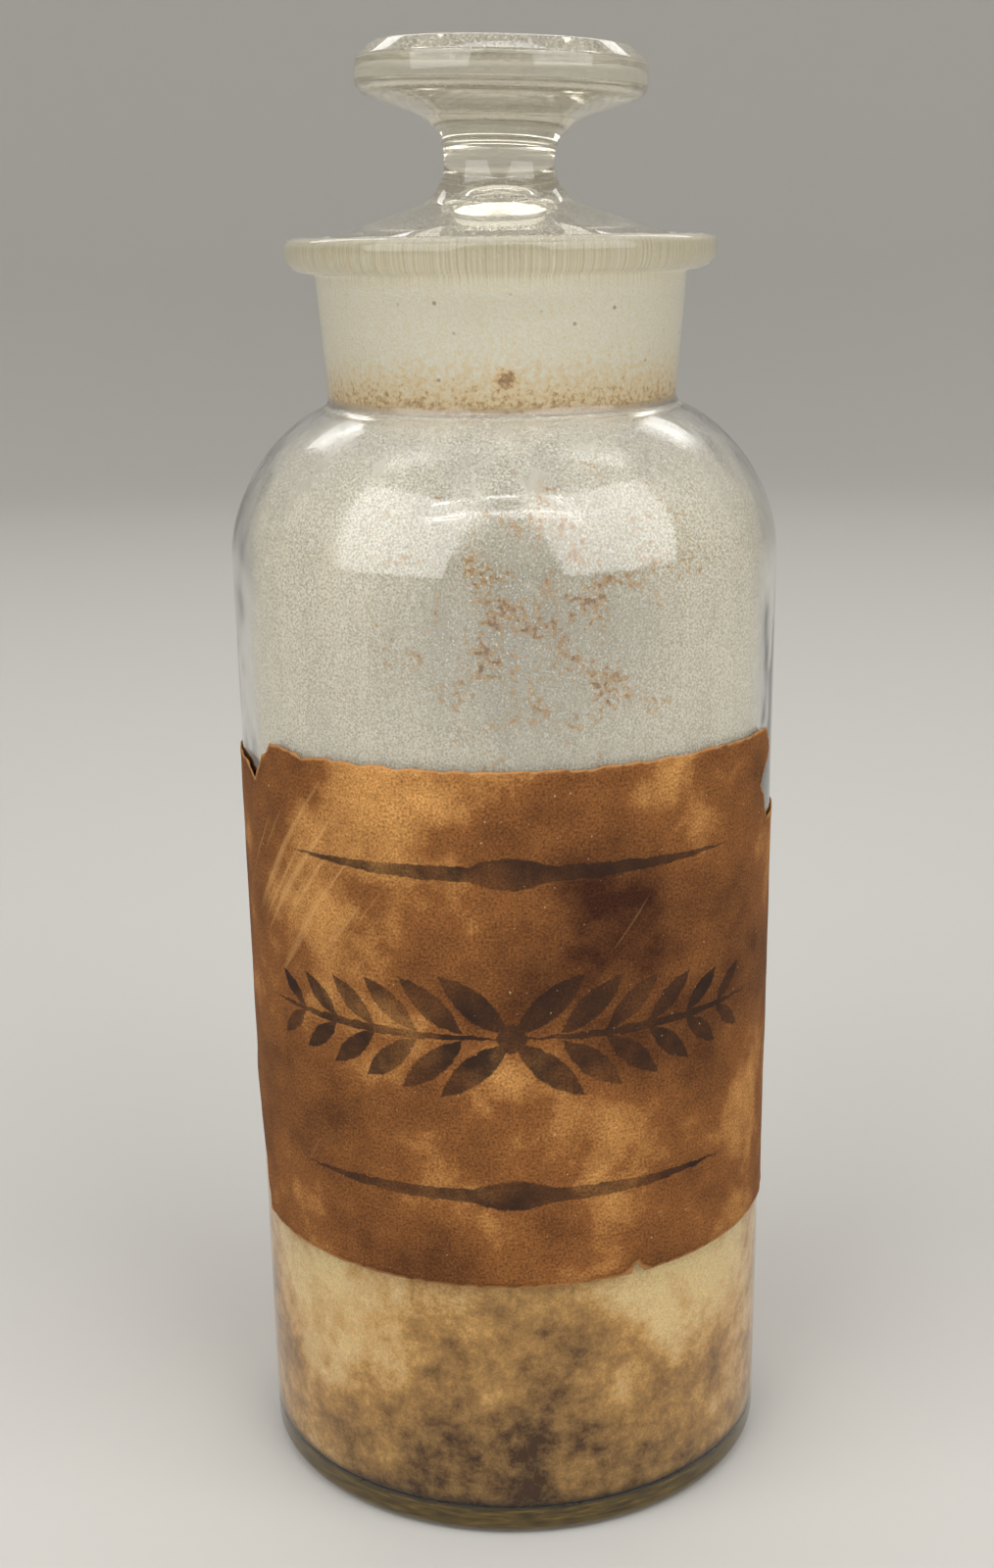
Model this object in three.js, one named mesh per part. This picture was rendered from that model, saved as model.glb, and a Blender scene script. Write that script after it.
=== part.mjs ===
// A wide-mouthed apothecary bottle: glass bottle, ground glass stopper, pasted paper label and powder.
// Millimetres, +Z up. The origin is the middle of the base, and the middle of the label faces -Y.
import * as THREE from 'three';

// Flats round every turned piece. The pieces share it, so that their flats lie along each other.
const FLATS = 48;
// Straight steps along a sweeping curve of a profile, and along a rounded edge.
const SWEEP_STEPS = 6;
const EDGE_STEPS = 3;

// Body of the bottle. It widens a little from the heel to the shoulder.
const BASE_RADIUS = 44.0;
const SHOULDER_START_RADIUS = 45.5;
const SHOULDER_START_HEIGHT = 160.0;
const SHOULDER_RADIUS = 26.4;
const HEEL_RADIUS = 2.5;
const WALL = 2.0;

// Base of the bottle. It stands on a flat ring, and the middle is pushed up.
const FLOOR_THICKNESS = 4.0;
const FLOOR_CORNER = 3.0;
const BEARING_WIDTH = 7.5;
const PUSH_UP = 1.5;

// Neck. Its bore is ground to a taper, given as the loss of radius for each millimetre below the lip.
const BORE_RADIUS = 27.9;
const BORE_TAPER = 0.04;
const BORE_EDGE = 0.6;
const NECK_LENGTH = 25.0;
const NECK_FOOT_WALL = 1.6;
const NECK_FOOT_FILLET = 2.5;
const NECK_TOP_WALL = 2.65;

// Lip. Its underside is a flat ledge, and below the band its edge is rounded down to that ledge.
const LIP_THICKNESS = 5.6;
const LIP_LEDGE = 1.6;
const LIP_BAND = 0.7;
const LIP_UPPER_EDGE = 1.7;

// Plug of the stopper. It is hollow from below, and its heights count from the lip's top.
const SEAT_CLEARANCE = 0.15;
const PLUG_WALL = 3.4;
const PLUG_EDGE = 0.8;
const HOLLOW_SHOULDER_DEPTH = 6.2;
const HOLLOW_CORNER = 4.5;
const CEILING_SLOPE = 14;
const CROWN_TOP = 5.8;
const CROWN_RADIUS = 6.0;
const CROWN_END_ANGLE = 24;

// Waist and head of the stopper, with heights from the lip's top and slopes in degrees.
const FLARE_SLOPE = 18;
const WAIST_RADIUS = 8.9;
const WAIST_FILLET = 7.0;
const WAIST_BOTTOM = 11.1;
const WAIST_LENGTH = 0.7;
const HEAD_RADIUS = 23.4;
const HEAD_UNDERSIDE_SLOPE = 18;
const HEAD_LOWER_EDGE = 2.5;
const HEAD_BAND_BOTTOM = 23.4;
const HEAD_BAND_HEIGHT = 3.4;
const HEAD_CHAMFER_WIDTH = 2.8;
const HEAD_CHAMFER_HEIGHT = 2.5;

// Label. Angles are degrees round the body from the front, positive towards +X.
const PAPER = 0.2;
const PASTE = 0.1;
const LABEL_HEIGHT = 86.5;
const LABEL_DROP_FROM_SHOULDER = 26.7;
const LABEL_LEFT_END = -100;
const LABEL_RIGHT_END = 106;
// How deep each corner of the label is torn away, and the nicks in its edges.
const UPPER_LEFT_TEAR = 7.2;
const UPPER_RIGHT_TEAR = 17.0;
const LOWER_LEFT_TEAR = 52.0;
const NICK = 1.6;
// Torn edges as [angle, depth of paper lost].
const TOP_EDGE = [
  [LABEL_LEFT_END, 0.9 * UPPER_LEFT_TEAR], [-78, 0.7 * UPPER_LEFT_TEAR], [-70.5, 0.7 * UPPER_LEFT_TEAR],
  [-65, UPPER_LEFT_TEAR], [-61.6, 0.5 * UPPER_LEFT_TEAR], [-57, 0],
  [-47, 0], [-45.8, 0.6 * NICK], [-43, 0],
  [68.5, 0], [70, 0.96 * UPPER_RIGHT_TEAR], [84, UPPER_RIGHT_TEAR],
  [LABEL_RIGHT_END, 0.95 * UPPER_RIGHT_TEAR],
];
const BOTTOM_EDGE = [
  [LABEL_LEFT_END, LOWER_LEFT_TEAR], [-80, 0.4 * LOWER_LEFT_TEAR], [-70.5, 0],
  [25.2, 0], [26.7, NICK], [28.3, 0],
  [LABEL_RIGHT_END, 0],
];

// Powder. It fills the body to this height at the wall, and is heaped a little in the middle.
const FILL_HEIGHT = 92.0;
const HEAP = 4.0;
const POWDER_GAP = 0.3;

const radians = THREE.MathUtils.degToRad;
const degrees = THREE.MathUtils.radToDeg;

function point(radius, height) {
  return new THREE.Vector2(radius, height);
}

// Points of an arc in the profile plane, from one angle to another in degrees, both ends included.
function arc(radius, height, arcRadius, from, to, steps) {
  const clockwise = to < from;
  const curve = new THREE.EllipseCurve(
    radius, height, arcRadius, arcRadius, radians(from), radians(to), clockwise,
  );
  return curve.getPoints(steps);
}

// A low dome in the profile plane, from its middle on the axis out to its rim.
function dome(middleHeight, rimRadius, rimHeight) {
  const curve = new THREE.QuadraticBezierCurve(
    point(0, middleHeight), point(rimRadius / 2, middleHeight), point(rimRadius, rimHeight),
  );
  return curve.getPoints(EDGE_STEPS);
}

// Turns a profile about the Z axis. The profile runs from axis to axis, upwards on the piece's outside.
function turned(profile) {
  return new THREE.LatheGeometry(profile, FLATS).rotateX(Math.PI / 2);
}

function bodyRadius(height) {
  const share = (height - HEEL_RADIUS) / (SHOULDER_START_HEIGHT - HEEL_RADIUS);
  return THREE.MathUtils.lerp(BASE_RADIUS, SHOULDER_START_RADIUS, share);
}

function boreRadius(depth) {
  return BORE_RADIUS - BORE_TAPER * depth;
}

// The fillet at the neck's foot touches the arc of the shoulder and the neck, which sets the neck's height.
const shoulderCentre = SHOULDER_START_RADIUS - SHOULDER_RADIUS;
const neckFootFillet = boreRadius(NECK_LENGTH) + NECK_FOOT_WALL + NECK_FOOT_FILLET;
const neckFootOffset = neckFootFillet - shoulderCentre;
const neckFootRise = Math.sqrt((SHOULDER_RADIUS + NECK_FOOT_FILLET) ** 2 - neckFootOffset ** 2);
const neckFoot = SHOULDER_START_HEIGHT + neckFootRise;
const lipTop = neckFoot + NECK_LENGTH;

// Inside of the base, raised by a gap on all sides: from the middle of the floor out to the wall.
function floorProfile(gap) {
  const floor = FLOOR_THICKNESS + gap;
  const cornerHeight = floor + FLOOR_CORNER;
  const cornerRadius = bodyRadius(cornerHeight) - WALL - gap - FLOOR_CORNER;
  return [
    ...dome(floor + PUSH_UP, cornerRadius, floor).slice(0, -1),
    ...arc(cornerRadius, cornerHeight, FLOOR_CORNER, -90, 0, EDGE_STEPS),
  ];
}

function bottleGeometry() {
  const shoulderEnd = degrees(Math.atan2(neckFootRise, neckFootOffset));
  const neckTop = boreRadius(LIP_THICKNESS) + NECK_TOP_WALL;
  const lipUnder = lipTop - LIP_THICKNESS;
  const lipLowerEdge = LIP_THICKNESS - LIP_BAND - LIP_UPPER_EDGE;
  const lipEdge = neckTop + LIP_LEDGE + lipLowerEdge;
  const boreFoot = boreRadius(NECK_LENGTH);
  const innerShoulder = SHOULDER_RADIUS - WALL;
  const innerEnd = degrees(Math.acos((boreFoot - shoulderCentre) / innerShoulder));

  const outside = [
    ...dome(PUSH_UP, BASE_RADIUS - HEEL_RADIUS - BEARING_WIDTH, 0),
    ...arc(BASE_RADIUS - HEEL_RADIUS, HEEL_RADIUS, HEEL_RADIUS, -90, 0, EDGE_STEPS),
    ...arc(shoulderCentre, SHOULDER_START_HEIGHT, SHOULDER_RADIUS, 0, shoulderEnd, SWEEP_STEPS),
    ...arc(neckFootFillet, neckFoot, NECK_FOOT_FILLET, shoulderEnd + 180, 180, EDGE_STEPS).slice(1),
    point(neckTop, lipUnder),
    ...arc(lipEdge - lipLowerEdge, lipUnder + lipLowerEdge, lipLowerEdge, -90, 0, EDGE_STEPS),
    ...arc(lipEdge - LIP_UPPER_EDGE, lipTop - LIP_UPPER_EDGE, LIP_UPPER_EDGE, 0, 90, EDGE_STEPS),
  ];
  const inside = [
    point(BORE_RADIUS + BORE_EDGE, lipTop),
    point(boreRadius(BORE_EDGE), lipTop - BORE_EDGE),
    point(boreFoot, neckFoot),
    ...arc(shoulderCentre, SHOULDER_START_HEIGHT, innerShoulder, innerEnd, 0, SWEEP_STEPS),
    ...floorProfile(0).reverse(),
  ];
  return turned([...outside, ...inside]);
}

function stopperGeometry() {
  const plugFoot = boreRadius(NECK_LENGTH) - SEAT_CLEARANCE;
  const hollowShoulder = boreRadius(HOLLOW_SHOULDER_DEPTH) - SEAT_CLEARANCE - PLUG_WALL;
  const waistCentre = WAIST_RADIUS + WAIST_FILLET;
  const waistTop = WAIST_BOTTOM + WAIST_LENGTH;
  const bandTop = HEAD_BAND_BOTTOM + HEAD_BAND_HEIGHT;
  const headTop = bandTop + HEAD_CHAMFER_HEIGHT;
  const headEdgeStart = HEAD_UNDERSIDE_SLOPE - 90;
  const headEdgeCentre = HEAD_RADIUS - HEAD_LOWER_EDGE;
  const cornerCentre = hollowShoulder - HOLLOW_CORNER;
  const cornerStart = 90 - CEILING_SLOPE;

  const hollow = [
    ...arc(0, CROWN_TOP - CROWN_RADIUS, CROWN_RADIUS, 90, CROWN_END_ANGLE, EDGE_STEPS),
    ...arc(cornerCentre, -HOLLOW_SHOULDER_DEPTH, HOLLOW_CORNER, cornerStart, 0, EDGE_STEPS),
    point(plugFoot - PLUG_WALL, -NECK_LENGTH),
  ];
  const plug = [
    point(plugFoot - PLUG_EDGE, -NECK_LENGTH),
    point(plugFoot, PLUG_EDGE - NECK_LENGTH),
    point(BORE_RADIUS - SEAT_CLEARANCE, 0),
  ];
  const waist = [
    ...arc(waistCentre, WAIST_BOTTOM, WAIST_FILLET, 270 - FLARE_SLOPE, 180, SWEEP_STEPS),
    ...arc(waistCentre, waistTop, WAIST_FILLET, 180, 90 + HEAD_UNDERSIDE_SLOPE, SWEEP_STEPS),
  ];
  const head = [
    ...arc(headEdgeCentre, HEAD_BAND_BOTTOM, HEAD_LOWER_EDGE, headEdgeStart, 0, EDGE_STEPS),
    point(HEAD_RADIUS, bandTop),
    point(HEAD_RADIUS - HEAD_CHAMFER_WIDTH, headTop),
    point(0, headTop),
  ];
  return turned([...hollow, ...plug, ...waist, ...head]);
}

function powderGeometry() {
  const rim = bodyRadius(FILL_HEIGHT) - WALL - POWDER_GAP;
  return turned([...floorProfile(POWDER_GAP), ...dome(FILL_HEIGHT + HEAP, rim, FILL_HEIGHT).reverse()]);
}

// Paper lost at an angle, read off a torn edge between its points.
function lossAt(edge, angle) {
  const next = Math.max(1, edge.findIndex(([at]) => at >= angle));
  const [fromAngle, fromLoss] = edge[next - 1];
  const [toAngle, toLoss] = edge[next];
  return THREE.MathUtils.mapLinear(angle, fromAngle, toAngle, fromLoss, toLoss);
}

// The angles where the sheet has a column of corners: its torn points, and the edges of the body's flats.
function labelAngles(flatAngle) {
  const torn = [...TOP_EDGE, ...BOTTOM_EDGE].map(([angle]) => angle);
  const flatEdges = Array.from({ length: FLATS }, (unused, index) => (index - FLATS / 2) * flatAngle);
  const covered = flatEdges.filter((angle) => angle > Math.min(...torn) && angle < Math.max(...torn));
  return [...new Set([...torn, ...covered])].sort((first, second) => first - second);
}

// A sheet that lies along the body's flats, with four corners in each column: inner and outer, low and high.
function labelGeometry() {
  const flatAngle = 360 / FLATS;
  const labelTop = SHOULDER_START_HEIGHT - LABEL_DROP_FROM_SHOULDER;
  const labelBottom = labelTop - LABEL_HEIGHT;
  const angles = labelAngles(flatAngle);

  const positions = [];
  for (const angle of angles) {
    const fromFlatMiddle = angle - (Math.floor(angle / flatAngle) + 0.5) * flatAngle;
    const flatness = Math.cos(radians(flatAngle / 2)) / Math.cos(radians(fromFlatMiddle));
    const low = labelBottom + lossAt(BOTTOM_EDGE, angle);
    const high = labelTop - lossAt(TOP_EDGE, angle);
    for (const [height, lift] of [[low, PASTE], [low, PASTE + PAPER], [high, PASTE + PAPER], [high, PASTE]]) {
      const radius = (bodyRadius(height) + lift) * flatness;
      positions.push(radius * Math.sin(radians(angle)), -radius * Math.cos(radians(angle)), height);
    }
  }

  const leftEnd = [0, 1, 2, 0, 2, 3];
  const rightEnd = [0, 2, 1, 0, 3, 2].map((corner) => corner + (angles.length - 1) * 4);
  const faces = [...leftEnd, ...rightEnd];
  for (let column = 0; column < angles.length - 1; column += 1) {
    for (let corner = 0; corner < 4; corner += 1) {
      const here = column * 4 + corner;
      const beside = column * 4 + ((corner + 1) % 4);
      faces.push(here, beside + 4, beside, here, here + 4, beside + 4);
    }
  }

  const geometry = new THREE.BufferGeometry();
  geometry.setAttribute('position', new THREE.Float32BufferAttribute(positions, 3));
  geometry.setIndex(faces);
  geometry.computeVertexNormals();
  return geometry;
}

function piece(name, geometry, finish) {
  const mesh = new THREE.Mesh(geometry, new THREE.MeshStandardMaterial({ metalness: 0, ...finish }));
  mesh.name = name;
  return mesh;
}

const bottleGlass = { color: 0xd8d4c2, roughness: 0.08, transparent: true, opacity: 0.4 };
const stopperGlass = { color: 0xd5d2c4, roughness: 0.12, transparent: true, opacity: 0.5 };
const bottle = piece('bottle', bottleGeometry(), bottleGlass);
const powder = piece('powder', powderGeometry(), { color: 0xc4a874, roughness: 1.0 });
const label = piece('label', labelGeometry(), { color: 0x7d5129, roughness: 0.9 });
const stopper = piece('stopper', stopperGeometry(), stopperGlass);
stopper.position.z = lipTop;

const apothecaryBottle = new THREE.Group();
apothecaryBottle.add(bottle, powder, label, stopper);

export default apothecaryBottle;
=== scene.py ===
# An old wide-mouthed apothecary bottle: a glass bottle with a ground glass stopper, a torn brown
# paper label and powder inside. Metres, +Z up, and the middle of the label faces -Y.
import math

import bmesh
import bpy
from mathutils import Matrix, Vector, kdtree, noise


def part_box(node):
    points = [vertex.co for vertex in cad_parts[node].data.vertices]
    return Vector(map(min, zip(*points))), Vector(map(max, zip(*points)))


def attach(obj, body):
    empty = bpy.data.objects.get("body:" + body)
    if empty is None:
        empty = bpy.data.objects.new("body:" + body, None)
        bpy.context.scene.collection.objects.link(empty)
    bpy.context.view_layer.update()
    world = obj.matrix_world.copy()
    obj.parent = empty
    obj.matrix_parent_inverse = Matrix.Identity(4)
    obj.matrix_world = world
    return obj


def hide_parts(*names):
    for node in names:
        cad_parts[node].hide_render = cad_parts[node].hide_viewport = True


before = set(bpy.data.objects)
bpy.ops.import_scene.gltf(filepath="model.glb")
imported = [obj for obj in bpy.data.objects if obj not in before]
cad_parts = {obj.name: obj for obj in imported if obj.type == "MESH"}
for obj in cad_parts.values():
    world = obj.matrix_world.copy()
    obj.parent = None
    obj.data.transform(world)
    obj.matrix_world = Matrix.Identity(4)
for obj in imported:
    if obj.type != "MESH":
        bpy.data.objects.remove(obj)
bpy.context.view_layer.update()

# Bottle
# One vessel of clear, faintly olive glass, blown into a mould, with a lip tooled on by hand.
# The bore of the neck is ground to a taper for the stopper, and grime has gathered at its foot.
MM = 0.001
TURNED_FLATS = 192
LONGEST_STEP = 5.0
ROUNDING_STEPS = 5
MERGE = 0.001
BODY_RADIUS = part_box("bottle")[1].x / MM
LIP_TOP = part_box("bottle")[1].z / MM
FOOT_RADIUS = 44.0
HEEL = 2.5
WALL = 2.0
PUSH_UP = 1.5
FLOOR = 4.0
SHOULDER_RADIUS = BODY_RADIUS + 0.16
SHOULDER_FOOT = 160.0
SHOULDER_CORNER = 177.05
INNER_SHOULDER_CORNER = 177.5
INNER_SHOULDER_ROUNDING = 17.3
NECK_FOOT = LIP_TOP - 26.6
NECK_FOOT_RADIUS = 28.5
NECK_TOP_RADIUS = 30.3
LIP_RADIUS = 35.1
LIP_FOOT = LIP_TOP - 5.6
BORE_RADIUS = 27.9
BORE_FOOT = LIP_TOP - 25.0
BORE_FOOT_RADIUS = 26.9
THROAT_FOOT = BORE_FOOT - 3.1
THROAT_ROUNDING = 0.9
POWDER_LEVEL = 92.0
# Corners of the half section as radius, height and length of the rounding, from the axis out and back.
BOTTLE_OUTSIDE = [
    (0, PUSH_UP, 0), (17, PUSH_UP, 14), (34, 0, 0.6), (FOOT_RADIUS, 0, HEEL),
    (SHOULDER_RADIUS, SHOULDER_CORNER, 17.0), (NECK_FOOT_RADIUS, NECK_FOOT, 1.5),
    (NECK_TOP_RADIUS, LIP_FOOT, 0.7), (LIP_RADIUS, LIP_FOOT, 3.1),
    (LIP_RADIUS, LIP_TOP, 1.7), (BORE_RADIUS + 0.65, LIP_TOP, 0),
]
BOTTLE_INSIDE = [
    (BORE_RADIUS, LIP_TOP, 0.6), (BORE_FOOT_RADIUS, BORE_FOOT, 0.8),
    (BORE_FOOT_RADIUS, THROAT_FOOT, THROAT_ROUNDING),
    (SHOULDER_RADIUS - WALL, INNER_SHOULDER_CORNER, INNER_SHOULDER_ROUNDING),
    (FOOT_RADIUS - WALL, FLOOR, 3.0), (19, FLOOR + PUSH_UP, 15), (0, FLOOR + PUSH_UP, 0),
]


def spun(section, flats):
    """Turns a half section all the way round the upright axis and closes it."""
    bmesh.ops.spin(
        section, geom=section.verts[:] + section.edges[:], cent=(0, 0, 0), axis=(0, 0, 1),
        angle=math.tau, steps=flats, use_merge=True,
    )
    bmesh.ops.remove_doubles(section, verts=section.verts[:], dist=MERGE * MM)
    bmesh.ops.recalc_face_normals(section, faces=section.faces[:])
    return section


def turned(mark, zones):
    """Rounds the corners of a half section and turns it. Each zone's corners carry its value of the mark."""
    section = bmesh.new()
    layer = section.verts.layers.float.new(mark)
    corners = [(value, corner) for value, zone in zones for corner in zone]
    verts = []
    for value, (radius, height, rounding) in corners:
        vert = section.verts.new((radius * MM, 0, height * MM))
        vert[layer] = value
        verts.append(vert)
    for ends in zip(verts, verts[1:]):
        section.edges.new(ends)
    for vert, (value, (radius, height, rounding)) in zip(verts, corners):
        if rounding:
            bmesh.ops.bevel(
                section, geom=[vert], offset=rounding * MM, offset_type="OFFSET",
                segments=ROUNDING_STEPS + int(rounding), profile=0.5, affect="VERTICES", material=-1,
            )
    for edge in section.edges[:]:
        cuts = int(edge.calc_length() / (LONGEST_STEP * MM))
        if cuts:
            bmesh.ops.subdivide_edges(section, edges=[edge], cuts=cuts)
    return spun(section, TURNED_FLATS)


def finished(name, shape, material):
    """Makes a shape an object with smooth shading and one material."""
    mesh = bpy.data.meshes.new(name)
    shape.to_mesh(mesh)
    shape.free()
    mesh.shade_smooth()
    mesh.materials.append(material)
    piece = bpy.data.objects.new(name, mesh)
    bpy.context.collection.objects.link(piece)
    return piece


def linear(colour):
    """An sRGB hex colour as linear red, green, blue and alpha."""
    channels = [int(colour[at:at + 2], 16) / 255 for at in (1, 3, 5)]
    return [c / 12.92 if c <= 0.04045 else ((c + 0.055) / 1.055) ** 2.4 for c in channels] + [1.0]


def fill(tree, node, inputs):
    """Fills a node's inputs, each with a socket, a value or an sRGB hex colour."""
    for name, value in inputs.items():
        found = [socket for socket in node.inputs if socket.enabled and socket.name == name]
        socket = found[0] if found else node.inputs[name]
        if isinstance(value, bpy.types.NodeSocket):
            tree.links.new(value, socket)
        else:
            socket.default_value = linear(value) if isinstance(value, str) else value


def add(tree, kind, inputs, output=None, **settings):
    """Adds a node with its settings and inputs, and gives one of its outputs."""
    made = tree.nodes.new("ShaderNode" + kind)
    for name, value in settings.items():
        setattr(made, name, value)
    fill(tree, made, inputs)
    return made.outputs[output] if output else next(socket for socket in made.outputs if socket.enabled)


def surface(name):
    """Makes a material, and gives it with its tree and its shader."""
    material = bpy.data.materials.new(name)
    material.use_nodes = True
    tree = material.node_tree
    return material, tree, tree.nodes["Principled BSDF"]


def measured(tree):
    """The place on a piece in millimetres."""
    return add(tree, "Mapping", {"Vector": add(tree, "TexCoord", {}, "Object"), "Scale": [1 / MM] * 3})


def blotted(tree, place, value, spots):
    """A value raised or lowered in soft round spots, each given as its middle, reach and amount."""
    for middle, reach, amount in spots:
        away = add(tree, "VectorMath", {0: place, 1: middle}, operation="DISTANCE")
        share = add(
            tree, "MapRange", {"Value": away, "From Min": reach, "From Max": 0.0, "To Max": amount},
            interpolation_type="SMOOTHSTEP",
        )
        value = add(tree, "Math", {0: value, 1: share}, operation="ADD")
    return value


def ramp(height, start, end):
    """0 before the start and 1 after the end, with a smooth rise between."""
    share = min(1, max(0, (height - start) / (end - start)))
    return share * share * (3 - 2 * share)


# Mouth-blown glass is uneven: the inside of the wall waves more than the outside, which took the mould.
# The waves rise above the heel and fade out on the shoulder.
WAVE_LENGTH = 28.0
WAVE_OUTSIDE = 0.10
WAVE_INSIDE = 0.35
WAVE_SHIFT = Vector((0, 0, 3))
WAVES_RISE = (8, 30)
WAVES_FADE = (160, 182)


def waved(shape):
    """Waves the upright wall of a turned shape, as deep as its mark of the inside says."""
    inside = shape.verts.layers.float["inside"]
    for vert in shape.verts:
        height = vert.co.z / MM
        body = ramp(height, *WAVES_RISE) * (1 - ramp(height, *WAVES_FADE))
        depth = WAVE_INSIDE if vert[inside] > 0.5 else WAVE_OUTSIDE
        wave = noise.noise(vert.co / (WAVE_LENGTH * MM) + WAVE_SHIFT * vert[inside])
        outward = Vector((vert.co.x, vert.co.y, 0)).normalized()
        vert.co += outward * wave * depth * body * MM
    return shape


bottle_shape = waved(turned("inside", [(0, BOTTLE_OUTSIDE), (1, BOTTLE_INSIDE)]))

# Old soda glass: clear but a faint olive where it is thick, with small ripples.
GRAIN = 0.36
CLOUD = 22
WIPE = 6
WIPE_STRETCH = (1, 1, 0.1)
GLASS_IOR = 1.52
old_glass, tree, shader = surface("old_soda_glass")
place = measured(tree)
axes = add(tree, "SeparateXYZ", {"Vector": place}, "Z").node
height = axes.outputs["Z"]
inside = add(tree, "Attribute", {}, "Fac", attribute_name="inside")
grain = add(tree, "TexNoise", {"Vector": place, "Scale": 1 / GRAIN, "Detail": 1.0})
bright = add(tree, "MapRange", {"Value": grain, "From Min": 0.32, "From Max": 0.68})

# The oily powder wets the glass up to an uneven line: pale where it is packed, brown where it is loose or
# damp. What touches the glass looks darker through it, so these colours are written strong.
POWDER_SPOTS = [
    (Vector((31, -32, 47)), 28, -0.32), (Vector((-33, -30, 40)), 26, -0.20), (Vector((2, -44, 28)), 26, 0.11),
    (Vector((-18, -40, 8)), 22, 0.15), (Vector((3, -44, 8)), 26, 0.17), (Vector((24, -36, 10)), 20, 0.14),
]
cloud = add(tree, "TexNoise", {"Vector": place, "Scale": 1 / CLOUD, "Detail": 3.0})
line = add(tree, "MapRange", {"Value": cloud, "To Min": POWDER_LEVEL - 8, "To Max": POWDER_LEVEL + 8})
below = add(tree, "Math", {0: line, 1: height}, operation="SUBTRACT")
covered = add(tree, "MapRange", {"Value": below, "From Min": -0.8, "From Max": 0.8})
clump = add(tree, "TexNoise", {"Vector": place, "Scale": 1 / 9, "Detail": 8.0, "Roughness": 0.74})
loose = blotted(tree, place, clump, POWDER_SPOTS)
packed_share = add(tree, "MapRange", {"Value": loose, "From Min": 0.28, "From Max": 0.50})
loose_share = add(tree, "MapRange", {"Value": loose, "From Min": 0.46, "From Max": 0.76})
packed = add(tree, "Mix", {"Factor": packed_share, "A": "#ffe5aa", "B": "#e0af66"}, data_type="RGBA")
mottled = add(tree, "Mix", {"Factor": loose_share, "A": packed, "B": "#50300c"}, data_type="RGBA")
powder_grain = add(tree, "MapRange", {"Value": bright, "To Min": 0.86, "To Max": 1.12})
powder_colour = add(
    tree, "Mix", {"Factor": 1.0, "A": mottled, "B": powder_grain}, data_type="RGBA", blend_type="MULTIPLY",
)
inside_colour = add(tree, "Mix", {"Factor": covered, "A": "#ffffff", "B": powder_colour}, data_type="RGBA")

# The bore is ground to an even cream, a little darker under the lip, with fine upright marks there.
ground = add(tree, "MapRange", {"Value": height, "From Min": BORE_FOOT - 0.8, "From Max": BORE_FOOT - 0.2})
behind = add(tree, "Math", {0: axes.outputs["Y"], 1: -1.0}, operation="MULTIPLY")
angle = add(tree, "Math", {0: axes.outputs["X"], 1: behind}, operation="ARCTAN2")
around = add(tree, "CombineXYZ", {"X": angle, "Z": 0.0})
mark = add(tree, "TexNoise", {"Vector": around, "Scale": BORE_RADIUS / 0.4, "Detail": 2.0})
mark = add(tree, "MapRange", {"Value": mark, "From Min": 0.3, "From Max": 0.6})
under_lip = add(tree, "MapRange", {"Value": height, "From Min": LIP_TOP - 8, "From Max": LIP_TOP - 5})
neck_colour = add(tree, "Mix", {"Factor": bright, "A": "#f8eed2", "B": "#fffdf2"}, data_type="RGBA")
lip_colour = add(tree, "Mix", {"Factor": mark, "A": "#d6c79c", "B": "#faf3de"}, data_type="RGBA")
bore_colour = add(tree, "Mix", {"Factor": under_lip, "A": neck_colour, "B": lip_colour}, data_type="RGBA")
inside_colour = add(tree, "Mix", {"Factor": ground, "A": inside_colour, "B": bore_colour}, data_type="RGBA")

# Grime: brown specks in the bore, thickest round its foot, with one rust spot at the front.
RUST_SPOT = [(Vector((0.4, -27, BORE_FOOT + 4)), 2.6, 0.34)]
speckle = add(tree, "TexNoise", {"Vector": place, "Scale": 1 / 0.9, "Detail": 4.0, "Roughness": 0.7})
foot_near = add(
    tree, "MapRange", {"Value": height, "From Min": BORE_FOOT + 9, "From Max": BORE_FOOT, "To Max": 0.38},
)
grime = add(tree, "Math", {0: speckle, 1: foot_near}, operation="ADD")
grime = blotted(tree, place, grime, RUST_SPOT)
grime_share = add(tree, "MapRange", {"Value": grime, "From Min": 0.58, "From Max": 0.92, "To Max": 0.9})
grime_end = add(tree, "MapRange", {"Value": height, "From Min": BORE_FOOT - 3.5, "From Max": BORE_FOOT - 1})
grime_share = add(tree, "Math", {0: grime_share, 1: grime_end}, operation="MULTIPLY")
grime_core = add(tree, "MapRange", {"Value": grime, "From Min": 0.82, "From Max": 1.04})
grime_colour = add(tree, "Mix", {"Factor": grime_core, "A": "#f2d08a", "B": "#a06c2e"}, data_type="RGBA")
inside_colour = add(
    tree, "Mix", {"Factor": grime_share, "A": inside_colour, "B": grime_colour}, data_type="RGBA",
)
speck_away = add(tree, "TexVoronoi", {"Vector": place, "Scale": 1 / 5}, "Distance")
speck_away = add(tree, "Math", {0: speck_away, 1: under_lip}, operation="ADD")
speck = add(tree, "MapRange", {"Value": speck_away, "From Min": 0.085, "From Max": 0.04, "To Max": 0.7})
speck = add(tree, "Math", {0: speck, 1: ground}, operation="MULTIPLY")
inside_colour = add(tree, "Mix", {"Factor": speck, "A": inside_colour, "B": "#94744a"}, data_type="RGBA")

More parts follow.
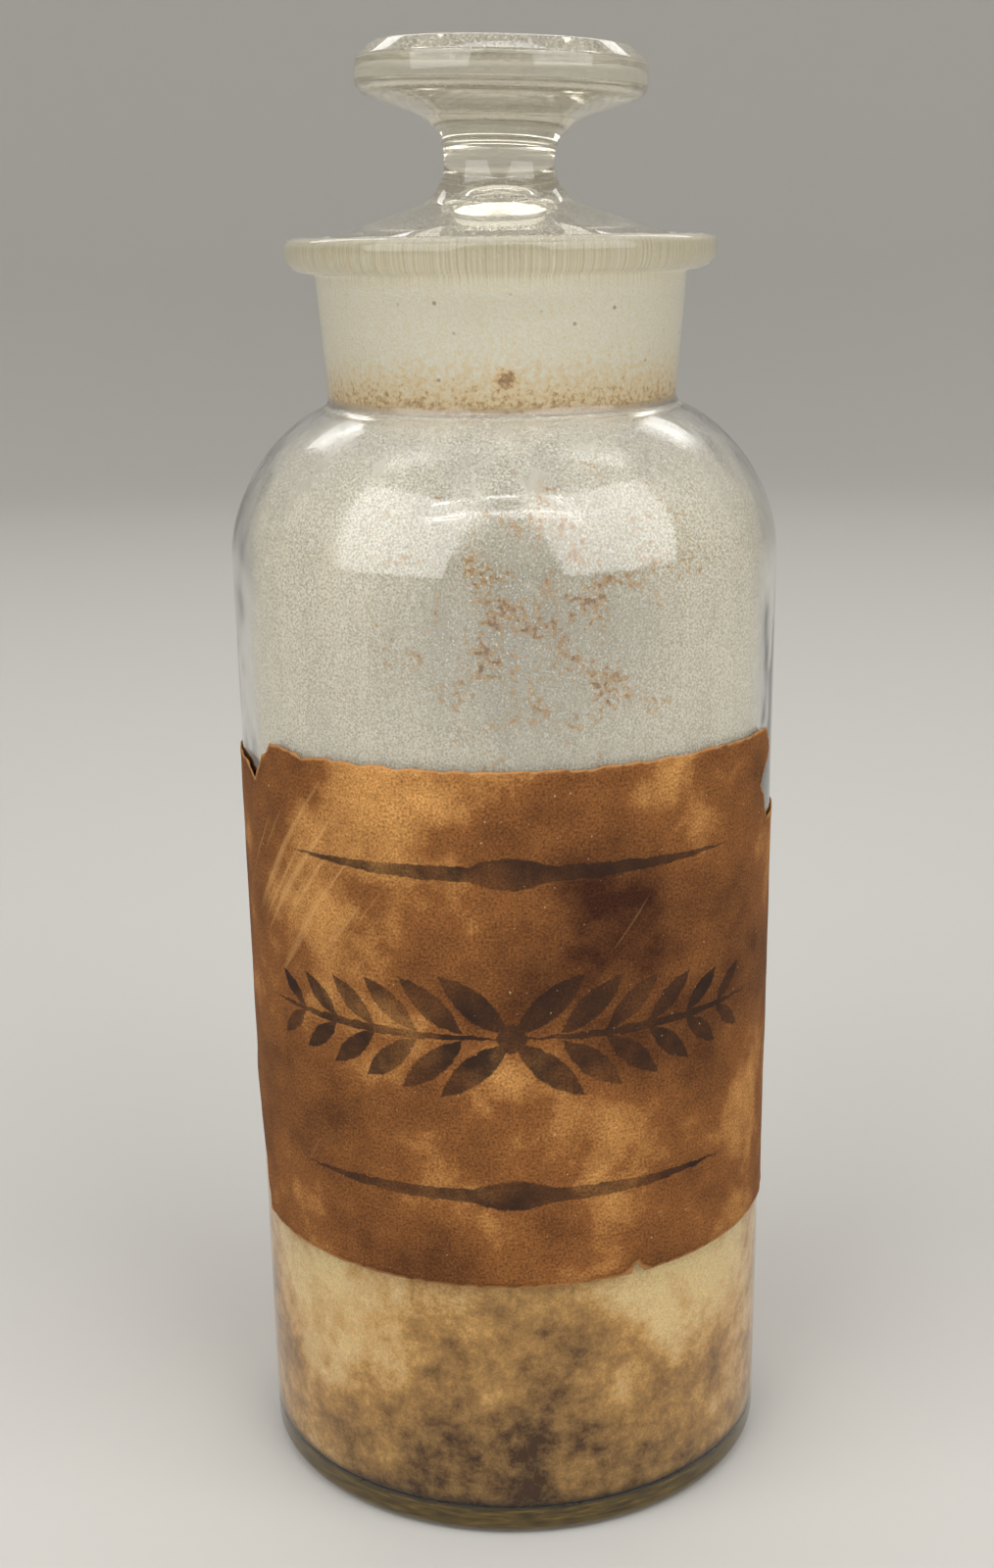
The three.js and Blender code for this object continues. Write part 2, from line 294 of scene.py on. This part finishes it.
# Outside, a little dust lies on what faces up; round the foot an olive glow and highlights are painted.
# Handling has left upright wipes, which dull the gloss, most of all where the shoulder faces up.
faces_up = add(tree, "SeparateXYZ", {"Vector": add(tree, "TexCoord", {}, "Normal")}, "Z")
settled = add(tree, "MapRange", {"Value": faces_up, "From Min": 0.2, "From Max": 0.95, "To Max": 0.28})
settled = add(tree, "Math", {0: settled, 1: bright}, operation="MULTIPLY")
# Painted light round the foot: an olive glow in place of light carried through its thick glass.
painted_foot_glow = add(tree, "MapRange", {"Value": height, "From Min": 5.5, "From Max": 4.9, "To Max": 0.6})
foot_level = add(tree, "Math", {0: height, 1: 0.2}, operation="MULTIPLY")
foot_place = add(tree, "CombineXYZ", {"X": angle, "Z": foot_level})
# Painted highlights: streaks along the foot, from dark olive to gold.
painted_foot_highlight = add(tree, "TexNoise", {"Vector": foot_place, "Scale": FOOT_RADIUS / 5, "Detail": 4.0})
painted_foot_highlight = add(tree, "MapRange", {"Value": painted_foot_highlight, "From Min": 0.35, "From Max": 0.65})
# Settled dust and the painted foot glow both cover the glass outside.
dust_and_foot_glow = add(tree, "Math", {0: settled, 1: painted_foot_glow}, operation="MAXIMUM")
painted_foot_glow_colour = add(tree, "Mix", {"Factor": painted_foot_highlight, "A": "#3c2d0c", "B": "#765f28"}, data_type="RGBA")
# Where the foot glow is painted, it replaces the outside colour.
foot_glow_painted = add(tree, "Math", {0: painted_foot_glow, 1: 0.1}, operation="GREATER_THAN")
outside_colour = add(tree, "Mix", {"Factor": foot_glow_painted, "A": "#fbfbf8", "B": painted_foot_glow_colour}, data_type="RGBA")
upright = add(tree, "Mapping", {"Vector": place, "Scale": WIPE_STRETCH})
wipe = add(tree, "TexNoise", {"Vector": upright, "Scale": 1 / WIPE, "Detail": 4.0})
dullest = add(
    tree, "MapRange", {"Value": faces_up, "From Min": 0.1, "From Max": 0.5, "To Min": 0.12, "To Max": 0.30},
)
dulled = add(
    tree, "MapRange", {"Value": wipe, "From Min": 0.35, "From Max": 0.65, "To Min": 0.03, "To Max": dullest},
)

# Light passes where nothing covers the glass. Ripples bend it a little, and the ground bore is frosted.
solid = add(tree, "Math", {0: ground, 1: 0.88}, operation="MULTIPLY")
for cover in (covered, grime_share, speck):
    solid = add(tree, "Math", {0: solid, 1: cover}, operation="MAXIMUM")
solid = add(tree, "Mix", {"Factor": inside, "A": dust_and_foot_glow, "B": solid})
clear = add(tree, "Math", {0: 1.0, 1: solid}, operation="SUBTRACT", use_clamp=True)
colour = add(tree, "Mix", {"Factor": inside, "A": outside_colour, "B": inside_colour}, data_type="RGBA")
rough = add(tree, "Mix", {"Factor": ground, "A": 0.03, "B": 0.6})
rough = add(tree, "Mix", {"Factor": inside, "A": dulled, "B": rough})
ripple = add(tree, "TexNoise", {"Vector": place, "Scale": 1 / 9, "Detail": 1.0})
bumps = add(tree, "Bump", {"Height": ripple, "Strength": 0.5, "Distance": 0.15 * MM})
frosted = add(tree, "Math", {0: ground, 1: inside}, operation="MULTIPLY")
bumps = add(tree, "Bump", {"Height": grain, "Strength": frosted, "Distance": 0.12 * MM, "Normal": bumps})

# Powder that wets the glass leaves no air behind the wall, so nothing is mirrored there.
wetted = add(tree, "Math", {0: covered, 1: inside}, operation="MULTIPLY")
mirrored = add(tree, "Mix", {"Factor": wetted, "A": 0.5, "B": 0.0})
fill(tree, shader, {
    "Base Color": colour, "Roughness": rough, "Specular IOR Level": mirrored,
    "Transmission Weight": clear, "Normal": bumps, "IOR": GLASS_IOR,
})
absorption = add(tree, "VolumeAbsorption", {"Color": "#d8cda0", "Density": 9.0})
fill(tree, tree.nodes["Material Output"], {"Volume": absorption})

bottle = finished("bottle_glass", bottle_shape, old_glass)
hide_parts("bottle")
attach(bottle, "bottle")

# Powder
# An oily ground seed, filled to about half the bottle, with its top slumped unevenly. The glass shows
# the powder that touches it, so this is what is seen from above.
POWDER_GAP = 0.5
POWDER_RADIUS = FOOT_RADIUS - WALL - POWDER_GAP
POWDER_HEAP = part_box("powder")[1].z / MM - 1
POWDER_FLOOR = FLOOR + POWDER_GAP
powder_shape = turned("heap", [(0, [
    (0, POWDER_FLOOR + PUSH_UP, 0), (19, POWDER_FLOOR + PUSH_UP, 15), (POWDER_RADIUS, POWDER_FLOOR, 3.0),
    (POWDER_RADIUS + 0.7, POWDER_LEVEL, 0.6), (22, POWDER_HEAP, 10), (0, POWDER_HEAP, 0),
])])

# Ground seed: a dull tan meal, mottled brown by bits of husk.
ground_seed, tree, shader = surface("ground_seed_meal")
place = measured(tree)
clump = add(tree, "TexNoise", {"Vector": place, "Scale": 1 / 6, "Detail": 6.0, "Roughness": 0.65})
husk = add(tree, "MapRange", {"Value": clump, "From Min": 0.4, "From Max": 0.7})
colour = add(tree, "Mix", {"Factor": husk, "A": "#cba76a", "B": "#7d5c36"}, data_type="RGBA")
grain = add(tree, "TexNoise", {"Vector": place, "Scale": 1 / 0.6, "Detail": 2.0})
bumps = add(tree, "Bump", {"Height": grain, "Strength": 0.6, "Distance": 0.4 * MM})
fill(tree, shader, {"Base Color": colour, "Normal": bumps, "Roughness": 0.95})

powder = finished("powder_fill", powder_shape, ground_seed)
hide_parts("powder")
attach(powder, "bottle")

# Clinging dust
# The finest of the powder, thrown up by years of shaking. It lies on the inside of the glass above the
# fill as a thin dry haze with air behind it, so the clear wall shows along the bottle's edges.
DUST_GAP = 0.15
DUST_FOOT = POWDER_LEVEL - 10
DUST_RISE = (DUST_FOOT - FLOOR) / (INNER_SHOULDER_CORNER - FLOOR)
DUST_FOOT_RADIUS = FOOT_RADIUS - WALL - DUST_GAP + (SHOULDER_RADIUS - FOOT_RADIUS) * DUST_RISE
dust_shape = waved(turned("inside", [(1, [
    (BORE_FOOT_RADIUS - DUST_GAP, BORE_FOOT - 1, 0),
    (BORE_FOOT_RADIUS - DUST_GAP, THROAT_FOOT - DUST_GAP, THROAT_ROUNDING),
    (SHOULDER_RADIUS - WALL - DUST_GAP, INNER_SHOULDER_CORNER - DUST_GAP, INNER_SHOULDER_ROUNDING),
    (DUST_FOOT_RADIUS, DUST_FOOT, 0),
])]))

# Dust of ground seed: pale grains, drawn coarse enough to show, thicker in clouds and in upright wipes.
# It is thin and grey at the middle of the front, thin on the shoulder and at the back, and single grains
# stand out white.
THIN_DUST = [(Vector((5, -44, 152)), 34, -0.30)]
GREY_DUST = [(Vector((6, -44, 154)), 32, 0.5)]
seed_dust, tree, shader = surface("ground_seed_dust")
place = measured(tree)
axes = add(tree, "SeparateXYZ", {"Vector": place}, "Z").node
height = axes.outputs["Z"]
grain = add(tree, "TexNoise", {"Vector": place, "Scale": 1 / GRAIN, "Detail": 1.0})
bright = add(tree, "MapRange", {"Value": grain, "From Min": 0.32, "From Max": 0.68})
cloud = add(tree, "TexNoise", {"Vector": place, "Scale": 1 / CLOUD, "Detail": 3.0})
upright = add(tree, "Mapping", {"Vector": place, "Scale": WIPE_STRETCH})
wipe = add(tree, "TexNoise", {"Vector": upright, "Scale": 1 / WIPE, "Detail": 4.0})
dust_cloud = add(
    tree, "MapRange", {"Value": cloud, "From Min": 0.3, "From Max": 0.7, "To Min": 0.76, "To Max": 1.0},
)
dust_wipe = add(
    tree, "MapRange", {"Value": wipe, "From Min": 0.3, "From Max": 0.7, "To Min": -0.13, "To Max": 0.13},
)
dust = add(tree, "Math", {0: dust_cloud, 1: dust_wipe}, operation="ADD")
dust = blotted(tree, place, dust, THIN_DUST)
shoulder = add(tree, "MapRange", {"Value": height, "From Min": 166, "From Max": 180, "To Max": -0.12})
dust = add(tree, "Math", {0: dust, 1: shoulder}, operation="ADD")
back = add(tree, "MapRange", {"Value": axes.outputs["Y"], "From Min": -8, "From Max": 26, "To Max": -0.34})
dust = add(tree, "Math", {0: dust, 1: back}, operation="ADD")
dust_grain = add(tree, "MapRange", {"Value": bright, "To Min": 0.64, "To Max": 1.20})
dust = add(tree, "Math", {0: dust, 1: dust_grain}, operation="MULTIPLY", use_clamp=True)
single = add(tree, "TexNoise", {"Vector": place, "Scale": 1 / 0.3, "Detail": 0.0})
single = add(tree, "MapRange", {"Value": single, "From Min": 0.62, "From Max": 0.76, "To Max": 0.9})
dust = add(tree, "Math", {0: dust, 1: single}, operation="MAXIMUM")
colour = add(tree, "Mix", {"Factor": bright, "A": "#e0d3b0", "B": "#fffaec"}, data_type="RGBA")
greyed = blotted(tree, place, 0.0, GREY_DUST)
colour = add(tree, "Mix", {"Factor": greyed, "A": colour, "B": "#8d877a"}, data_type="RGBA")
colour = add(tree, "Mix", {"Factor": single, "A": colour, "B": "#fffdf6"}, data_type="RGBA")

# Crumbs: rust-brown seed coat in small clusters, most of it stuck above the middle of the label.
CRUMB_SPOTS = [(Vector((7, -43, 155)), 44, 0.22)]
crumb = add(tree, "TexNoise", {"Vector": place, "Scale": 1 / 1.1, "Detail": 4.0, "Roughness": 0.7})
cluster = add(tree, "TexNoise", {"Vector": place, "Scale": 1 / 6, "Detail": 1.0})
cluster = add(
    tree, "MapRange", {"Value": cluster, "From Min": 0.35, "From Max": 0.65, "To Min": -0.14, "To Max": 0.05},
)
crumb = add(tree, "Math", {0: crumb, 1: cluster}, operation="ADD")
stuck = blotted(tree, place, crumb, CRUMB_SPOTS)
fleck = add(tree, "MapRange", {"Value": stuck, "From Min": 0.69, "From Max": 0.75, "To Max": 0.85})
fleck_core = add(tree, "MapRange", {"Value": stuck, "From Min": 0.77, "From Max": 0.83})
fleck_colour = add(tree, "Mix", {"Factor": fleck_core, "A": "#d2a256", "B": "#7c4414"}, data_type="RGBA")
colour = add(tree, "Mix", {"Factor": fleck, "A": colour, "B": fleck_colour}, data_type="RGBA")
share = add(tree, "Math", {0: dust, 1: fleck}, operation="MAXIMUM")
bumps = add(tree, "Bump", {"Height": grain, "Strength": 0.4, "Distance": 0.2 * MM})
fill(tree, shader, {"Base Color": colour, "Alpha": share, "Normal": bumps, "Roughness": 0.95})

dust_haze = finished("clinging_dust", dust_shape, seed_dust)
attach(dust_haze, "bottle")

# Label
# One sheet of brown paper, pasted round the front of the body, with torn corners and a nicked edge.
# A leaf spray between two swelled rules is drawn on it in faded ink.
PAPER = 0.2
PASTE = 0.1
LABEL_BOTTOM = 46.8
LABEL_TOP = 133.3
ARC = math.radians(1) * BODY_RADIUS
SHEET_STEP = 3.0
SHEET_LINES = range(-28, 46)
OUTLINE_STEP = 0.7
TORN_DEPTH = 0.35
CUT_DEPTH = 0.08
TORN_LENGTH = 2.2
FRAYED_LENGTH = 0.8
TEAR_REACH = 2.5
TEAR_SEED = 5
WRINKLE = 0.10
WRINKLE_LENGTH = 9
CURL = 0.35
CURL_LENGTH = 7
# Corners of the sheet's outline as degrees round the body and height, counter-clockwise.
LABEL_OUTLINE = [
    (-70.5, LABEL_BOTTOM), (25.2, LABEL_BOTTOM), (26.7, 48.4), (28.3, LABEL_BOTTOM), (106, LABEL_BOTTOM),
    (105, 80), (106, 117.2), (84, 116.3), (70.5, 116.8), (68.9, 120.4), (65.8, 123.7), (68.2, 125.5),
    (72.7, 127.9), (72.2, 130.1), (68.6, 132.6), (43.5, LABEL_TOP), (-43, LABEL_TOP), (-45.8, 132.4),
    (-47, LABEL_TOP), (-56.6, LABEL_TOP), (-58, 131.7), (-61.6, 129.9), (-65, 126.1), (-70.3, 128.2),
    (-78, 128.3), (-100, 127), (-99, 110), (-100, 82), (-80, 67.6), (-73.2, 55.6),
]


def wall_radius(height):
    """Outside radius of the body at a height."""
    return FOOT_RADIUS + (BODY_RADIUS - FOOT_RADIUS) * (height - HEEL) / (SHOULDER_FOOT - HEEL)


# The sheet is cut flat, in millimetres of arc and of height, and then wrapped on the body. The noise
# starts from a fixed seed, so that the paper tears alike every time.
label_shape = bmesh.new()
tear_layer = label_shape.verts.layers.float.new("tear")
sheet_layer = label_shape.verts.layers.float_vector.new("sheet")
corners = [label_shape.verts.new((angle * ARC, height, 0)) for angle, height in LABEL_OUTLINE]
label_shape.faces.new(corners)
for edge in label_shape.edges[:]:
    cuts = int(edge.calc_length() / OUTLINE_STEP)
    if cuts:
        bmesh.ops.subdivide_edges(label_shape, edges=[edge], cuts=cuts)
noise.seed_set(TEAR_SEED)
outline = kdtree.KDTree(len(label_shape.verts))
for index, vert in enumerate(label_shape.verts):
    ragged = TORN_DEPTH if vert.co.y > LABEL_BOTTOM + 0.2 else CUT_DEPTH
    shift = noise.noise_vector(vert.co / TORN_LENGTH) + 0.6 * noise.noise_vector(vert.co / FRAYED_LENGTH)
    vert.co += Vector((shift.x, shift.y, 0)) * ragged
    outline.insert(vert.co, index)
outline.balance()
for across, up in ((1, 0), (0, 1)):
    for step in SHEET_LINES:
        bmesh.ops.bisect_plane(
            label_shape, geom=label_shape.verts[:] + label_shape.edges[:] + label_shape.faces[:], dist=0.001,
            plane_co=(step * SHEET_STEP, step * SHEET_STEP, 0), plane_no=(across, up, 0),
        )
for vert in label_shape.verts:
    spot, index, distance = outline.find(vert.co)
    tear = max(0, 1 - distance / TEAR_REACH)
    vert[tear_layer] = tear
    vert[sheet_layer] = vert.co
    angle = math.radians(vert.co.x / ARC)
    height = vert.co.y
    wrinkle = WRINKLE * (1 + noise.noise(vert.co / WRINKLE_LENGTH))
    curl = CURL * tear ** 2 * abs(noise.noise(vert.co / CURL_LENGTH))
    radius = wall_radius(height) + PASTE + wrinkle + curl
    vert.co = Vector((radius * math.sin(angle), -radius * math.cos(angle), height)) * MM
bmesh.ops.recalc_face_normals(label_shape, faces=label_shape.faces[:])
bmesh.ops.solidify(label_shape, geom=label_shape.faces[:], thickness=PAPER * MM)

# Aged kraft paper: amber where it is clean and dark brown where it is stained, with a fibre grain, pale
# creases, a paler torn edge and white specks. The fibres are drawn coarse enough to show.
STAINS = [
    (Vector((14, 101, 0)), 36, 0.22), (Vector((-8, 122, 0)), 14, 0.14), (Vector((-52, 72, 0)), 22, 0.10),
    (Vector((42, 88, 0)), 26, 0.10), (Vector((-28, 114, 0)), 24, -0.14), (Vector((-12, 132, 0)), 22, -0.27),
    (Vector((2, 82, 0)), 18, -0.14), (Vector((24, 67, 0)), 18, -0.12), (Vector((-12, 47, 0)), 14, 0.18),
]
brown_paper, tree, shader = surface("aged_brown_paper")
sheet = add(tree, "Attribute", {}, "Vector", attribute_name="sheet")
patch = add(tree, "TexNoise", {"Vector": sheet, "Scale": 1 / 20, "Detail": 6.0, "Roughness": 0.6})
stain = blotted(tree, sheet, patch, STAINS)
light_share = add(tree, "MapRange", {"Value": stain, "From Min": 0.24, "From Max": 0.47})
dark_share = add(tree, "MapRange", {"Value": stain, "From Min": 0.43, "From Max": 0.79})
colour = add(tree, "Mix", {"Factor": light_share, "A": "#bd8a4e", "B": "#815229"}, data_type="RGBA")
colour = add(tree, "Mix", {"Factor": dark_share, "A": colour, "B": "#381c0d"}, data_type="RGBA")
fibre = add(tree, "TexNoise", {"Vector": sheet, "Scale": 1 / 0.42, "Detail": 2.0})
fibre_tone = add(
    tree, "MapRange", {"Value": fibre, "From Min": 0.3, "From Max": 0.7, "To Min": 0.56, "To Max": 1.44},
)
colour = add(
    tree, "Mix", {"Factor": 1.0, "A": colour, "B": fibre_tone}, data_type="RGBA", blend_type="MULTIPLY",
)

# Creases run aslant at the upper left, where the sheet was folded before it was pasted down.
CREASE_SPOTS = [(Vector((-36, 112, 0)), 34, 0.17)]
aslant = add(
    tree, "Mapping", {"Vector": sheet, "Rotation": (0, 0, math.radians(52)), "Scale": (24, 1, 1)},
    vector_type="TEXTURE",
)
crease = add(tree, "TexNoise", {"Vector": aslant, "Scale": 1 / 1.6, "Detail": 3.0})
crease = blotted(tree, sheet, crease, CREASE_SPOTS)
crease = add(tree, "MapRange", {"Value": crease, "From Min": 0.70, "From Max": 0.82, "To Max": 0.32})
colour = add(tree, "Mix", {"Factor": crease, "A": colour, "B": "#d2a468"}, data_type="RGBA")

# A leaf spray between two swelled rules, in faded ink. Each mark is a pen stroke, pointed at both ends:
# millimetres across and up from the middle, half length, half width and lean. It is drawn in one
# quarter and mirrored, and the pen's shake differs in each.
INK_MIDDLE = Vector((0, 90, 0))
INK_MARKS = [(0, 27, 40, 1.3, 0), (0, 27, 9, 2.6, 0), (24, 0, 24, 0.7, 0), (0, 0, 2.6, 2.6, 0)]
for leaf in range(6):
    taper = 1 - 0.09 * leaf
    INK_MARKS.append((6 + 7 * leaf, 5.4 * taper, 7.5 * taper, 2.3 * taper, 40))
shake = add(tree, "TexNoise", {"Vector": sheet, "Scale": 1 / 1.6, "Detail": 4.0}, "Color")
shake = add(tree, "VectorMath", {0: shake, 1: (0.5, 0.5, 0.5)}, operation="SUBTRACT")
nib = add(tree, "VectorMath", {0: shake, 1: (1.0, 1.0, 0), 2: sheet}, operation="MULTIPLY_ADD")
quarter = add(tree, "VectorMath", {0: nib, 1: INK_MIDDLE}, operation="SUBTRACT")
quarter = add(tree, "VectorMath", {0: quarter}, operation="ABSOLUTE")
ink_away = 2.0
for across, up, half_length, half_width, lean in INK_MARKS:
    stroke = add(
        tree, "Mapping", {
            "Vector": quarter, "Location": (across, up, 0), "Rotation": (0, 0, math.radians(lean)),
            "Scale": (half_length, half_width, 1),
        }, vector_type="TEXTURE",
    )
    axes = add(tree, "SeparateXYZ", {"Vector": stroke}, "X").node
    along = add(tree, "Math", {0: axes.outputs["X"], 1: 2.0}, operation="POWER")
    aside = add(tree, "Math", {0: axes.outputs["Y"]}, operation="ABSOLUTE")
    stroke_away = add(tree, "Math", {0: along, 1: aside}, operation="ADD")
    ink_away = add(tree, "Math", {0: stroke_away, 1: ink_away}, operation="MINIMUM")
ink = add(tree, "MapRange", {"Value": ink_away, "From Min": 1.06, "From Max": 0.92})
faded = add(tree, "TexNoise", {"Vector": sheet, "Scale": 1 / 13, "Detail": 5.0, "Roughness": 0.6})
faded = add(
    tree, "MapRange", {"Value": faded, "From Min": 0.36, "From Max": 0.62, "To Min": 0.45, "To Max": 0.95},
)
ink = add(tree, "Math", {0: ink, 1: faded}, operation="MULTIPLY")
colour = add(tree, "Mix", {"Factor": ink, "A": colour, "B": "#261a14"}, data_type="RGBA")

# The torn edge shows paler fibres, and white specks of lint and paste dot the sheet.
tear = add(tree, "Attribute", {}, "Fac", attribute_name="tear")
torn = add(tree, "MapRange", {"Value": tear, "From Min": 0.80, "From Max": 0.97, "To Max": 0.65})
colour = add(tree, "Mix", {"Factor": torn, "A": colour, "B": "#c68f58"}, data_type="RGBA")
lint = add(tree, "TexVoronoi", {"Vector": nib, "Scale": 1 / 3.5}, "Distance", voronoi_dimensions="2D").node
lint_size = add(tree, "MapRange", {"Value": lint.outputs["Color"], "From Min": 0.5, "To Max": 0.07})
lint_near = add(tree, "Math", {0: lint_size, 1: lint.outputs["Distance"]}, operation="SUBTRACT")
speck = add(tree, "MapRange", {"Value": lint_near, "From Max": 0.03, "To Max": 0.5})
colour = add(tree, "Mix", {"Factor": speck, "A": colour, "B": "#cdb896"}, data_type="RGBA")
bumps = add(tree, "Bump", {"Height": fibre, "Strength": 0.35, "Distance": 0.15 * MM})
fill(tree, shader, {"Base Color": colour, "Normal": bumps, "Roughness": 0.8, "Specular IOR Level": 0.15})

label = finished("paper_label", label_shape, brown_paper)
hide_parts("label")
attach(label, "bottle")

# Stopper
# One pressed glass stopper: a plug ground to fit the bore and hollow from below, a waist to grip
# and a flat head with a chamfered rim. Its head sits a little out of true.
CLEARANCE = 0.15
PLUG_TOP_RADIUS = BORE_RADIUS - CLEARANCE
PLUG_FOOT_RADIUS = BORE_FOOT_RADIUS - CLEARANCE
PLUG_FOOT = LIP_TOP - 25.0
PLUG_WALL = 3.4
WAIST_RADIUS = 8.9
HEAD_RADIUS = 23.4
HEAD_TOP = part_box("stopper")[1].z / MM
HEAD_TILT = math.radians(2.0)
TILT_PIVOT = Vector((0, 0, LIP_TOP + 11)) * MM
TILT_RISE = (LIP_TOP + 6, LIP_TOP + 18)
STOPPER_HOLLOW = [
    (0, LIP_TOP + 5.8, 0), (3.9, LIP_TOP + 5.8, 3.8), (5.6, LIP_TOP + 2.0, 0.8),
    (24.1, LIP_TOP - 2.7, 3.5), (PLUG_FOOT_RADIUS - PLUG_WALL, PLUG_FOOT, 0.8),
]
STOPPER_PLUG = [
    (PLUG_FOOT_RADIUS, PLUG_FOOT, 0.8), (PLUG_TOP_RADIUS - 0.02, LIP_TOP - 0.5, 0),
]
STOPPER_GRIP = [
    (PLUG_TOP_RADIUS, LIP_TOP, 0.4), (WAIST_RADIUS, LIP_TOP + 6.0, 5.0), (WAIST_RADIUS, LIP_TOP + 16.9, 5.0),
    (HEAD_RADIUS, LIP_TOP + 21.6, 1.8), (HEAD_RADIUS, HEAD_TOP - 2.5, 0.5),
    (HEAD_RADIUS - 2.8, HEAD_TOP, 0.5), (0, HEAD_TOP, 0),
]
stopper_shape = turned("ground", [(0, STOPPER_HOLLOW), (1, STOPPER_PLUG), (0, STOPPER_GRIP)])
for vert in stopper_shape.verts:
    tilt = HEAD_TILT * ramp(vert.co.z / MM, *TILT_RISE)
    vert.co = TILT_PIVOT + Matrix.Rotation(tilt, 3, "Y") @ (vert.co - TILT_PIVOT)

# Pressed soda glass: clear, with rings left by the mould, grey dust on the flare and a ground plug.
stopper_glass, tree, shader = surface("pressed_soda_glass")
place = measured(tree)
ground = add(tree, "Attribute", {}, "Fac", attribute_name="ground")
grain = add(tree, "TexNoise", {"Vector": place, "Scale": 1 / 0.45, "Detail": 1.0})
bright = add(tree, "MapRange", {"Value": grain, "From Min": 0.4, "From Max": 0.75})
level = add(tree, "VectorMath", {0: place, 1: (1, 1, 0)}, operation="MULTIPLY")
radius = add(tree, "VectorMath", {0: level}, "Value", operation="LENGTH")
height = add(tree, "SeparateXYZ", {"Vector": place}, "Z")
around = add(tree, "CombineXYZ", {"X": radius, "Z": height})
ring = add(tree, "TexNoise", {"Vector": around, "Scale": 1 / 1.2, "Detail": 3.0})
faces_up = add(tree, "SeparateXYZ", {"Vector": add(tree, "TexCoord", {}, "Normal")}, "Z")
faces_down = add(tree, "MapRange", {"Value": faces_up, "From Min": -0.3, "From Max": -0.7})
ring = add(tree, "Mix", {"Factor": faces_down, "A": 0.5, "B": ring})
ring_haze = add(
    tree, "MapRange", {"Value": ring, "From Min": 0.45, "From Max": 0.7, "To Min": 0.05, "To Max": 0.38},
)
settled = add(
    tree, "MapRange", {"Value": faces_up, "From Min": 0.1, "From Max": 0.9, "To Min": 0.10, "To Max": 0.32},
)
settled = add(tree, "Math", {0: settled, 1: bright}, operation="MULTIPLY")
haze = add(tree, "Math", {0: ring_haze, 1: settled}, operation="ADD")
solid = add(tree, "Mix", {"Factor": ground, "A": haze, "B": 0.4})
clear = add(tree, "Math", {0: 1.0, 1: solid}, operation="SUBTRACT", use_clamp=True)
colour = add(tree, "Mix", {"Factor": ground, "A": "#f6f2e6", "B": "#e6e0cc"}, data_type="RGBA")
rough = add(tree, "Mix", {"Factor": ground, "A": 0.03, "B": 0.6})
bumps = add(tree, "Bump", {"Height": ring, "Strength": 0.25, "Distance": 0.1 * MM})
fill(tree, shader, {
    "Base Color": colour, "Roughness": rough, "Transmission Weight": clear, "Normal": bumps, "IOR": GLASS_IOR,
})
absorption = add(tree, "VolumeAbsorption", {"Color": "#d8d0b0", "Density": 12.0})
fill(tree, tree.nodes["Material Output"], {"Volume": absorption})

stopper = finished("glass_stopper", stopper_shape, stopper_glass)
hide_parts("stopper")
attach(stopper, "stopper")

# Studio
# A pale paper sweep all round, just under the base, soft banks to the left and right of the camera,
# thin strip lamps above, a bank behind, and the camera where the photograph was taken.
SWEEP_LEVEL = -0.2 * MM
SWEEP_RADIUS = 2.6
SWEEP_ROUNDING = 1.2
SWEEP_FLATS = 96
sweep_shape = bmesh.new()
sweep_corners = [
    sweep_shape.verts.new(spot) for spot in (
        (0, 0, SWEEP_LEVEL), (SWEEP_RADIUS, 0, SWEEP_LEVEL), (SWEEP_RADIUS, 0, SWEEP_RADIUS),
    )
]
for ends in zip(sweep_corners, sweep_corners[1:]):
    sweep_shape.edges.new(ends)
bmesh.ops.bevel(
    sweep_shape, geom=[sweep_corners[1]], offset=SWEEP_ROUNDING, offset_type="OFFSET", segments=16,
    profile=0.5, affect="VERTICES", material=-1,
)
spun(sweep_shape, SWEEP_FLATS)
sweep_paper, tree, shader = surface("pale_sweep_paper")
fill(tree, shader, {"Base Color": "#cccac5", "Roughness": 0.9})
finished("sweep", sweep_shape, sweep_paper)

# Each lamp's place, width and length in metres, and its power in watts.
LAMPS = [
    ("left", (-1.15, -1.0, 1.0), (1.7, 1.6), 22.5),
    ("right", (1.15, -1.0, 1.0), (1.7, 1.6), 22.5),
    ("upper front", (0, -0.72, 1.25), (1.2, 0.03), 1.4),
    ("front", (0, -0.95, 1.15), (1.6, 0.04), 2.0),
    ("overhead", (0, 0.05, 0.90), (1.0, 0.10), 0.8),
    ("back", (0, 1.1, 1.10), (2.0, 0.30), 5.0),
]
LAMP_AIM = Vector((0, 0, 0.12))
for name, spot, (width, length), power in LAMPS:
    lamp = bpy.data.lights.new(name, "AREA")
    lamp.shape = "RECTANGLE"
    lamp.size = width
    lamp.size_y = length
    lamp.energy = power
    holder = bpy.data.objects.new(name, lamp)
    holder.location = spot
    holder.rotation_euler = (LAMP_AIM - Vector(spot)).to_track_quat("-Z", "Y").to_euler()
    bpy.context.collection.objects.link(holder)

world = bpy.data.worlds.new("studio")
world.use_nodes = True
fill(world.node_tree, world.node_tree.nodes["Background"], {"Color": "#f4f2ee", "Strength": 0.25})

CAMERA_PLACE = (-0.00178, -0.35198, 0.21402)
CAMERA_PITCH = 0.2632
CAMERA_ROLL = 0.0143
CAMERA_LENS = 48.25
LIGHT_BOUNCES = 20
view = bpy.data.cameras.new("camera")
view.lens = CAMERA_LENS
camera = bpy.data.objects.new("camera", view)
camera.location = CAMERA_PLACE
aim = Matrix.Rotation(math.pi / 2 - CAMERA_PITCH, 3, "X") @ Matrix.Rotation(-CAMERA_ROLL, 3, "Z")
camera.rotation_euler = aim.to_euler()
bpy.context.collection.objects.link(camera)
scene = bpy.context.scene
scene.world = world
scene.camera = camera
scene.view_settings.view_transform = "Standard"
scene.cycles.max_bounces = LIGHT_BOUNCES
scene.cycles.transmission_bounces = LIGHT_BOUNCES
scene.cycles.use_denoising = True
